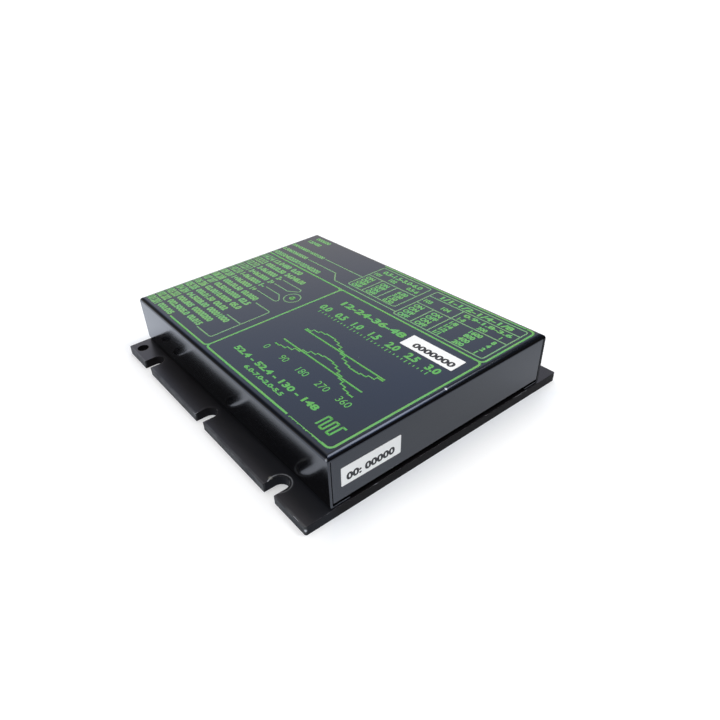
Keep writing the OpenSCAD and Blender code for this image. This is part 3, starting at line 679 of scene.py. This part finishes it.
def motor_paths():
    """Motor symbol: two coils and a rotor."""
    loop = ((COIL_OUTER, COIL_FAR), (COIL_OUTER, COIL_NEAR), (COIL_FOOT, COIL_NEAR),
            (COIL_INNER, COIL_BEND), (COIL_INNER, COIL_FAR))
    coils = [line(*((MOTOR_X + side * x, y) for x, y in loop)) for side in (-1, 1)]
    return coils + [circle(MOTOR_X, ROTOR_Y, ROTOR_RADIUS)]


# Chart of the two phase currents: middle lines, height of the waves, far end, length and steps
PHASE_XS = (-12.8, -23.6)
PHASE_SWING = 4.4
CHART_FAR = -5.6
CHART_LENGTH = 49.2
CHART_STEPS = 16


def stepped_wave(middle, lag):
    """Staircase that follows one turn of a sine along the chart."""
    points = []
    for k in range(CHART_STEPS):
        level = middle + PHASE_SWING * math.sin(2 * math.pi * (k + 0.5) / CHART_STEPS - lag)
        for edge in (k, k + 1):
            points.append((level, CHART_FAR - CHART_LENGTH * edge / CHART_STEPS))
    return points, False


def chart_paths():
    """The stepped currents of the two phases, on their middle lines."""
    near = CHART_FAR - CHART_LENGTH
    waves = [stepped_wave(PHASE_XS[0], 0.0), stepped_wave(PHASE_XS[1], math.pi / 2)]
    return waves + [line((x, CHART_FAR), (x, near)) for x in PHASE_XS]


# Step pulses: low and high level, far end, width and number of the steps
PULSE_LOW, PULSE_HIGH = -46.4, -40.6
PULSE_FAR, PULSE_STEP, PULSE_STEPS = -57.6, 1.9, 5


def pulse_path():
    """Step pulses, a bold square wave by the near corner."""
    points = [(PULSE_LOW, PULSE_FAR)]
    for k in range(PULSE_STEPS):
        level = (PULSE_HIGH, PULSE_LOW)[k % 2]
        points += [(level, PULSE_FAR - PULSE_STEP * k), (level, PULSE_FAR - PULSE_STEP * (k + 1))]
    return [line(*points)]


def print_lines():
    """All the legend's lines, in their weights."""
    tree = printed_lines_tree()
    right_line = [line((FRAME_RIGHT, RIGHT_LINE_START), (FRAME_RIGHT, RIGHT_LINE_END))]
    shaft = [circle(MOTOR_X, ROTOR_Y, SHAFT_RADIUS, SHAFT_SIDES)]
    # Name, paths, width, corner radius and ink
    pieces = (
        ("legend_frame", panel_paths(), FRAME_LINE, FRAME_CORNER, LINE_INK),
        ("legend_right_line", right_line, RIGHT_LINE, FRAME_CORNER, LINE_INK),
        ("legend_worn_line", worn_paths(), WORN_LINE, THIN_CORNER, LINE_INK),
        ("legend_tables", table_paths(), THIN_LINE, THIN_CORNER, THIN_INK),
        ("legend_leaders", leader_paths(), THIN_LINE, THIN_CORNER, THIN_INK),
        ("legend_motor", motor_paths(), COIL_LINE, THIN_CORNER, THIN_INK),
        ("legend_chart", chart_paths(), CHART_LINE, 0.0, INK),
        ("legend_pulses", pulse_path(), PULSE_LINE, PULSE_CORNER, INK),
        ("legend_shaft", shaft, SHAFT_LINE, THIN_CORNER, LINE_INK),
    )
    for name, paths, width, corner, ink in pieces:
        mesh = real_mesh(name, drawn_paths(name, paths), tree, Line_Width=width * MM,
                         Ink_Thickness=INK_THICKNESS * MM, Corner_Radius=corner * MM, Ink=ink)
        printed_piece(name, mesh)


# Current scale across the lower panel
SCALE_X = 1.2
SCALE_FAR, SCALE_LENGTH, SCALE_STEPS = 2.5, 64.0, 6
STEP_TICKS = 5
TICK_WIDTH, TICK_LENGTH = 0.5, 1.9


def print_scale():
    """Ruled scale under the row of large figures."""
    mesh = real_mesh("scale", bpy.data.meshes.new("scale"), scale_tree(), Length=SCALE_LENGTH * MM,
                     Ticks=STEP_TICKS * SCALE_STEPS + 1, Tick_Width=TICK_WIDTH * MM,
                     Tick_Length=TICK_LENGTH * MM, Ink_Thickness=INK_THICKNESS * MM,
                     Origin=(SCALE_X * MM, SCALE_FAR * MM, PRINT_Z * MM), Ink=INK)
    printed_piece("legend_scale", mesh)


# Printed figures

# Cap height of the type at one unit of size, and how much fatter its strokes are printed
FIGURE_CAP = 0.729
BOLD = 0.045
TABLE_BOLD = 0.05
CORNER_BOLD = 0.045
NUMBER_BOLD = 0.05
STRIP_BOLD = 0.06

# Ways that figures face, read along the cover, from the front and from behind
ON_TOP = Matrix.Rotation(math.radians(-90), 4, "Z")
ON_FRONT = Matrix.Rotation(math.radians(90), 4, "X")
ON_BACK = Matrix.Rotation(math.radians(180), 4, "Z") @ ON_FRONT


def figure_mesh(text, bold):
    """Printed figures at one unit of type size, one unit thick, reading along X from the origin."""
    words = bpy.data.curves.new("figures", "FONT")
    words.body = text
    words.resolution_u = 3
    words.offset = bold
    words.extrude = 0.5
    return real_mesh("figures", words)


def set_figures(sheet, text, centre, cap, length, facing, bold, from_left=False):
    """Adds figures to a sheet: their middle, cap height and the way they face, and a length that spreads
    or narrows them; without one they keep their own width."""
    mesh = figure_mesh(text, bold)
    low = min(v.co.x for v in mesh.vertices)
    high = max(v.co.x for v in mesh.vertices)
    middle = Vector((low if from_left else (low + high) / 2, FIGURE_CAP / 2, 0))
    tall = cap / FIGURE_CAP
    size = Vector((length / (high - low) if length else tall, tall, INK_THICKNESS))
    mesh.transform(Matrix.Translation(Vector(centre) * MM) @ facing @ Matrix.Diagonal(size * MM).to_4x4()
                   @ Matrix.Translation(-middle))
    sheet.from_mesh(mesh)
    bpy.data.meshes.remove(mesh)


def figures_piece(name, sheet, ink):
    """One printed piece from a sheet of figures."""
    mesh = bpy.data.meshes.new(name)
    sheet.to_mesh(mesh)
    sheet.free()
    mesh.materials.append(ink)
    return printed_piece(name, mesh)


# Terminals' numbers: far end and length of their rows
TERMINAL_X, TERMINAL_PITCH = -48.9, 5.05
NUMBER_CAP = 4.0
NUMBER_ROWS = ((72.0, 4.5), (67.0, 4.7))
# Strips of figures next to the numbers: figures and length of the first, and of the second
STRIP_CAP = 3.0
STRIP_FAR, STRIP_GAP = 61.0, 1.5
TERMINALS = (
    ("000.005", 13.1, "", 0),
    ("002.5005.0", 19.0, "00.015", 10.8),
    ("000.805", 13.7, "00000200", 16.6),
    ("04.5028.00", 19.0, "00001000", 17.2),
    ("000.01.50", 15.8, "00.02", 10.3),
    ("02.0010.0000", 22.2, "05.0", 7.6),
    ("00.5010.0000", 21.8, "02.5", 7.6),
    ("000.00.50", 15.8, "00.0050", 12.4),
    ("1+06.0000", 15.8, "1+", 3.4),
    ("1-06.0000", 15.8, "1-", 3.4),
    ("2+06.0000", 15.8, "2+", 3.4),
    ("2-06.0000", 15.8, "2-", 3.4),
    ("000.00.50", 15.8, "24.048.00", 15.0),
    ("12.0480", 13.7, "0.00", 8.0),
)


def print_terminals():
    """Numbers and strips of figures along each terminal, out from the far edge."""
    sheet = bmesh.new()
    for k, (first, first_length, second, second_length) in enumerate(TERMINALS):
        x = TERMINAL_X + TERMINAL_PITCH * k
        for row, (far, length) in enumerate(NUMBER_ROWS):
            place = (x, far - length / 2, PRINT_Z)
            set_figures(sheet, f"{row + 1}{k + 1:02d}", place, NUMBER_CAP, length, ON_TOP, NUMBER_BOLD)
        second_far = STRIP_FAR - first_length - STRIP_GAP
        for text, far, length in ((first, STRIP_FAR, first_length), (second, second_far, second_length)):
            if text:
                place = (x, far - length / 2, PRINT_Z)
                set_figures(sheet, text, place, STRIP_CAP, length, ON_TOP, STRIP_BOLD)
    figures_piece("legend_small_figures", sheet, SMALL_INK)


# Tables' figures: first row, rows' pitch, columns' far ends, each row's values, and the heads and their row
ROW_CAP = 2.4
SWITCH_ROWS = (("OFF", "OFF"), ("OFF", "ON"), ("ON", "OFF"), ("ON", "ON"))
COLUMNS_1_Y = (13.0, 3.0, -8.6)
COLUMNS_2_Y = (-22.0, -32.2, -42.6, -52.8, -63.8)
VALUES_1 = (("0.50",), ("1.50",), ("3.00",), ("6.00",))
VALUES_2 = (("1/1", "200", "1"), ("1/2", "400", "2"), ("1/4", "800", "4"), ("1/8", "1600", "8"))
TABLE_FIGURES = (
    (28.6, 2.95, COLUMNS_1_Y, VALUES_1, ("101", "102", "0.5-6"), 43.0),
    (24.8, 3.2, COLUMNS_2_Y, VALUES_2, ("103", "104"), 40.6),
)
# Heads over the second table's values, and the tables' titles: figures, middle, cap height and length
VALUE_HEADS, VALUE_HEAD_X, VALUE_HEAD_CAP = ("1-8", "200", "1"), 39.0, 2.2
TITLES = (
    ("0.9-1.8-3.6", (42.7, -54.6, PRINT_Z), 2.2, 24.0),
    ("0.5-1.5-3.0-6.0", (46.9, -1.4, PRINT_Z), 2.8, 25.0),
    ("1/1-1/2-1/4-1/8", (47.3, -44.6, PRINT_Z), 2.7, 38.0),
)


def print_tables():
    """Rows of switch settings and their values, with numbers at the head of the columns, and titles."""
    sheet = bmesh.new()
    for first_x, pitch, columns_y, values, heads, head_x in TABLE_FIGURES:
        for row, (settings, figures) in enumerate(zip(SWITCH_ROWS, values)):
            for text, far in zip(settings + figures, columns_y):
                place = (first_x + pitch * row, far, PRINT_Z)
                set_figures(sheet, text, place, ROW_CAP, None, ON_TOP, TABLE_BOLD, from_left=True)
        for text, far in zip(heads, columns_y):
            set_figures(sheet, text, (head_x, far, PRINT_Z), ROW_CAP, None, ON_TOP, BOLD, from_left=True)
    for text, far in zip(VALUE_HEADS, COLUMNS_2_Y[2:]):
        place = (VALUE_HEAD_X, far, PRINT_Z)
        set_figures(sheet, text, place, VALUE_HEAD_CAP, None, ON_TOP, BOLD, from_left=True)
    for text, place, cap, length in TITLES:
        set_figures(sheet, text, place, cap, length, ON_TOP, BOLD)
    figures_piece("legend_table_figures", sheet, LINE_INK)


# Large figures in the lower panel: figures, middle, cap height and length
LARGE_ROWS = (
    ("12-24-36-48", (13.2, -18.6, PRINT_Z), 3.5, 39.0),
    ("52.4 - 52.4 - 130 - 148", (-41.2, -24.5, PRINT_Z), 2.8, 55.0),
    ("6.0-7.0-2.0-5.5", (-45.8, -24.3, PRINT_Z), 2.0, 25.5),
)
# Figures along the chart and the scale: their middle line and cap height
CHART_FIGURES_X, CHART_CAP, CHART_QUARTERS = -31.8, 3.4, 4
SCALE_FIGURES_X, SCALE_CAP = 4.9, 3.7


def print_figures():
    """Large figures, and those along the chart and the scale."""
    sheet = bmesh.new()
    for text, place, cap, length in LARGE_ROWS:
        set_figures(sheet, text, place, cap, length, ON_TOP, BOLD)
    for k in range(CHART_QUARTERS + 1):
        place = (CHART_FIGURES_X, CHART_FAR - CHART_LENGTH * k / CHART_QUARTERS, PRINT_Z)
        set_figures(sheet, str(90 * k), place, CHART_CAP, None, ON_TOP, 0.0)
    for k in range(SCALE_STEPS + 1):
        place = (SCALE_FIGURES_X, SCALE_FAR - SCALE_LENGTH * k / SCALE_STEPS, PRINT_Z)
        set_figures(sheet, f"{k / 2:.1f}", place, SCALE_CAP, None, ON_TOP, BOLD)
    figures_piece("legend_figures", sheet, INK)


# Strips by the far right corner: middle, far end, length, cap height and figures
CORNER_STRIPS = (
    (24.0, 72.0, 39.0, 3.0, "102030402030102040200"),
    (29.8, 72.0, 21.0, 2.5, "0.50600600500"),
    (35.9, 72.0, 27.5, 2.2, "20040080016003200"),
    (44.4, 68.8, 10.2, 2.5, "120480"),
    (49.2, 67.8, 11.3, 2.5, "000600"),
)


def print_corner_strips():
    """Strips of figures by the far right corner."""
    sheet = bmesh.new()
    for x, far, length, cap, text in CORNER_STRIPS:
        set_figures(sheet, text, (x, far - length / 2, PRINT_Z), cap, length, ON_TOP, CORNER_BOLD)
    figures_piece("legend_corner_figures", sheet, SMALL_INK)


# Tape labels: thickness and clipped corners, then each one's middle, length, width and turn, and the shift,
# cap height and length of its figures
TAPE_THICKNESS = 0.12
TAPE_CLIP = 0.25
TOP_TAPE_AT, TOP_TAPE_SIZE = Vector((12.6, -53.25, TOP_LABEL_LOW.z)), (26.6, 8.2)
TOP_TAPE_TURN = Matrix.Rotation(math.radians(0.7), 4, "Z") @ ON_TOP
TOP_PRINT_SHIFT = Vector((-0.8, -1.7, TAPE_THICKNESS + INK_THICKNESS / 2 - INK_SINK))
TOP_PRINT_SIZE = (3.1, 20.6)
FRONT_TAPE_AT, FRONT_TAPE_SIZE = Vector((-35.85, FRONT_LABEL_HIGH.y, 15.7)), (26.3, 8.1)
FRONT_TAPE_TURN = ON_FRONT @ Matrix.Rotation(math.radians(-0.9), 4, "Z")
FRONT_PRINT_SHIFT = Vector((-0.35, INK_SINK - INK_THICKNESS / 2 - TAPE_THICKNESS, -0.8))
FRONT_PRINT_SIZE = (3.0, 21.3)


def cut_tape(name, node, length, width, middle, facing):
    """A strip of label tape with clipped corners, thinner than its place, so that its print fits."""
    clip = TAPE_CLIP
    a, b = length / 2, width / 2
    outline = [(-a + clip, -b), (a - clip, -b), (a, -b + clip), (a, b - clip),
               (a - clip, b), (-a + clip, b), (-a, b - clip), (-a, -b + clip)]
    shape = bmesh.new()
    foot = [shape.verts.new((x, y, 0)) for x, y in outline]
    raised = bmesh.ops.extrude_face_region(shape, geom=[shape.faces.new(foot)])["geom"]
    bmesh.ops.translate(shape, verts=[v for v in raised if isinstance(v, bmesh.types.BMVert)],
                        vec=(0, 0, TAPE_THICKNESS))
    bmesh.ops.transform(shape, matrix=Matrix.Translation(middle * MM) @ facing @ Matrix.Scale(MM, 4),
                        verts=shape.verts)
    tape = figures_piece(name, shape, FINISHES["label_white"])
    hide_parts(node)


def print_labels():
    """The two tape labels, stuck on by hand a little askew, with plain figures."""
    sheet = bmesh.new()
    cut_tape("top_tape", "top_label", *TOP_TAPE_SIZE, TOP_TAPE_AT, TOP_TAPE_TURN)
    set_figures(sheet, "0000000", TOP_TAPE_AT + TOP_PRINT_SHIFT, *TOP_PRINT_SIZE, TOP_TAPE_TURN, BOLD)
    cut_tape("front_tape", "front_label", *FRONT_TAPE_SIZE, FRONT_TAPE_AT, FRONT_TAPE_TURN)
    set_figures(sheet, "00: 00000", FRONT_TAPE_AT + FRONT_PRINT_SHIFT, *FRONT_PRINT_SIZE, FRONT_TAPE_TURN,
                BOLD)
    figures_piece("label_figures", sheet, PRINT)


# Switch's print: cap height, and its numbers' and word's distance from the foot and head of its face
SWITCH_CAP = 1.3
SWITCH_NUMBERS_UP = 1.6
SWITCH_WORD_DOWN = 1.4


def print_switch():
    """The switch's own white print: its ways numbered below the levers, and which way is on."""
    sheet = bmesh.new()
    face_y = SWITCH_HIGH.y + INK_THICKNESS / 2 - INK_SINK
    for k in range(SWITCH_WAYS):
        low, high = (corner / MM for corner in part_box(f"switch_lever_{k + 1}"))
        place = ((low.x + high.x) / 2, face_y, SWITCH_LOW.z + SWITCH_NUMBERS_UP)
        set_figures(sheet, str(k + 1), place, SWITCH_CAP, None, ON_BACK, BOLD)
    place = ((SWITCH_LOW.x + SWITCH_HIGH.x) / 2, face_y, SWITCH_HIGH.z - SWITCH_WORD_DOWN)
    set_figures(sheet, "ON", place, SWITCH_CAP, None, ON_BACK, BOLD)
    figures_piece("switch_figures", sheet, FINISHES["lever_white"])


# Stage

def white_card():
    """White card: seen, and mirrored, as plain white with the module's shadow."""
    material = bpy.data.materials.new("white card")
    tree = fresh_tree(material)
    card = add(tree, "ShaderNodeBsdfDiffuse", values={"Color": linear("#F2F6FB")})
    rays = add(tree, "ShaderNodeLightPath").outputs
    place = add(tree, "ShaderNodeTexCoord").outputs["Object"]
    # Seen direct, the card keeps a narrow shadow round the module and is plain white farther out
    spread = add(tree, "ShaderNodeVectorMath", {0: place}, operation="ABSOLUTE")
    outside = add(tree, "ShaderNodeVectorMath", {0: spread}, {1: SHADOW_HALF * MM}, operation="SUBTRACT")
    sides = split(tree, outside)
    outside = maths(tree, "MAXIMUM", sides["X"], sides["Y"])
    near = fade(tree, outside, (-SHADOW_EDGE, SHADOW_EDGE), *FLOOR_GLOW)
    away = add(tree, "ShaderNodeVectorMath", {0: place}, operation="LENGTH").outputs["Value"]
    far = fade(tree, away, FLOOR_FAR, 0.0, FLOOR_FAR_GLOW)
    direct = times(tree, maths(tree, "ADD", near, far), rays["Is Camera Ray"])
    seen = add(tree, "ShaderNodeEmission", {"Strength": direct}, {"Color": linear("#FFF4E4")})
    # Mirrored in the lacquer, it is brighter behind on the left than in front
    aside = reach(tree, place, MIRROR_WAY)
    front, side, back = MIRROR_GLOW
    bright = maths(tree, "ADD", fade(tree, aside, MIRROR_SIDE, front, side),
                   fade(tree, aside, MIRROR_BACK, 0.0, back - side))
    mirrored = maths(tree, "MAXIMUM", rays["Is Glossy Ray"], rays["Is Transmission Ray"])
    strength = times(tree, bright, mirrored)
    glow = add(tree, "ShaderNodeEmission", {"Strength": strength}, {"Color": linear("#DEE7F8")})
    glows = add(tree, "ShaderNodeAddShader", {0: seen, 1: glow})
    both = add(tree, "ShaderNodeAddShader", {0: card, 1: glows})
    # In the mirror of the near bend the card ends a hand's breadth in front, where the room is dark
    beyond = fade(tree, reach(tree, place, FLOOR_END_WAY), FLOOR_END)
    ended = times(tree, beyond, rays["Is Glossy Ray"])
    room = add(tree, "ShaderNodeEmission", values={"Color": linear("#1B1C1E")})
    whole = add(tree, "ShaderNodeMixShader", {0: ended, 1: both, 2: room})
    add(tree, "ShaderNodeOutputMaterial", {"Surface": whole})
    return material


def studio_floor():
    """Card that the module lies on, a hair below it."""
    half = FLOOR_SIZE * MM / 2
    mesh = bpy.data.meshes.new("floor")
    corners = [(-half, -half, 0), (half, -half, 0), (half, half, 0), (-half, half, 0)]
    mesh.from_pydata(corners, [], [(0, 1, 2, 3)])
    mesh.materials.append(white_card())
    floor = bpy.data.objects.new("floor", mesh)
    floor.location.z = -FLOOR_DROP * MM
    scene.collection.objects.link(floor)


# Colours of the surroundings by height: warm white low down, then blue as from a window, white overhead
SKY = ((0.3, "#E3DBD0"), (0.4, "#DDDEE7"), (0.6, "#CBDCFC"), (0.85, "#F2ECE2"))


def studio_world():
    """Pale surroundings, blue half way up as from a window, and plain white where they are seen."""
    world = bpy.data.worlds.new("white studio")
    scene.world = world
    tree = fresh_tree(world)
    direction = add(tree, "ShaderNodeTexCoord").outputs["Generated"]
    axes = split(tree, direction)
    sky = add(tree, "ShaderNodeValToRGB", {"Fac": axes["Z"]})
    stops = sky.color_ramp.elements
    stops[0].position, stops[-1].position = SKY[0][0], SKY[-1][0]
    for height, _ in SKY[1:-1]:
        stops.new(height)
    for stop, (_, colour) in zip(stops, SKY):
        stop.color = linear(colour)
    # Dark in front, for the near bend to mirror, and behind on the left, for the left wall's foot
    front = ramp(tree, reach(tree, direction, DARK_FRONT), 0.0, 0.55, WORLD_LEVEL, 0.1 * WORLD_LEVEL)
    corner = ramp(tree, reach(tree, direction, DARK_CORNER), 0.82, 0.96, 1.0, 0.15)
    lit = add(tree, "ShaderNodeBackground", {"Color": sky, "Strength": times(tree, front, corner)})
    # The ceiling lamp's shade glows round it, more to the right up to its end, as the near bend mirrors it
    rays = add(tree, "ShaderNodeLightPath").outputs
    shade_glow = ramp(tree, reach(tree, direction, LAMPS[0][1].normalized()), 0.86, 0.95, 0.0, SHADE_GLOW)
    shade_start = ramp(tree, axes["X"], 0.42, 0.55, 0.35, 1.1)
    shade_end = ramp(tree, axes["X"], 0.62, 0.56)
    shade_glow = times(tree, shade_glow, shade_start, shade_end, rays["Is Glossy Ray"])
    glow = add(tree, "ShaderNodeBackground", {"Strength": shade_glow}, {"Color": linear("#BCCDF6")})
    lit = add(tree, "ShaderNodeAddShader", {0: lit, 1: glow})
    seen = add(tree, "ShaderNodeBackground", values={"Color": linear("#FFFFFF"), "Strength": 1.0})
    both = add(tree, "ShaderNodeMixShader", {0: rays["Is Camera Ray"], 1: lit, 2: seen})
    add(tree, "ShaderNodeOutputWorld", {"Surface": both})


def studio_lamps():
    """Two square lamps from above, turned to the module."""
    for name, place, side, power in LAMPS:
        light = bpy.data.lights.new(name, "AREA")
        light.size = side * MM
        light.energy = power
        light.color = linear("#FBFAF8")[:3]
        lamp = bpy.data.objects.new(name, light)
        lamp.location = place * MM
        lamp.rotation_euler = (-place).to_track_quat("-Z", "Y").to_euler()
        scene.collection.objects.link(lamp)


def set_camera():
    """Camera at the photograph's place, its frame shifted as the photograph was cropped."""
    azimuth, elevation, roll = CAMERA_AZIMUTH, CAMERA_ELEVATION, CAMERA_ROLL
    back = Vector((math.sin(azimuth) * math.cos(elevation), -math.cos(azimuth) * math.cos(elevation),
                   math.sin(elevation)))
    right = Vector((math.cos(azimuth), math.sin(azimuth), 0))
    up = back.cross(right)
    rolled_right = right * math.cos(roll) + up * math.sin(roll)
    rolled_up = up * math.cos(roll) - right * math.sin(roll)
    optics = bpy.data.cameras.new("camera")
    optics.lens = LENS
    optics.sensor_width = SENSOR
    optics.shift_x = (IMAGE_SIZE / 2 - LENS_AXIS_PIXEL[0]) / IMAGE_SIZE
    optics.shift_y = (LENS_AXIS_PIXEL[1] - IMAGE_SIZE / 2) / IMAGE_SIZE
    optics.clip_start = CLIP_START * MM
    camera = bpy.data.objects.new("camera", optics)
    camera.matrix_world = (Matrix.Translation(CAMERA_AT * MM)
                           @ Matrix((rolled_right, rolled_up, back)).transposed().to_4x4())
    scene.collection.objects.link(camera)
    scene.camera = camera


scene.view_settings.view_transform = "Standard"
set_camera()
studio_world()
studio_lamps()
studio_floor()
dress_frame()
print_lines()
print_scale()
print_terminals()
print_tables()
print_figures()
print_corner_strips()
print_labels()
print_switch()
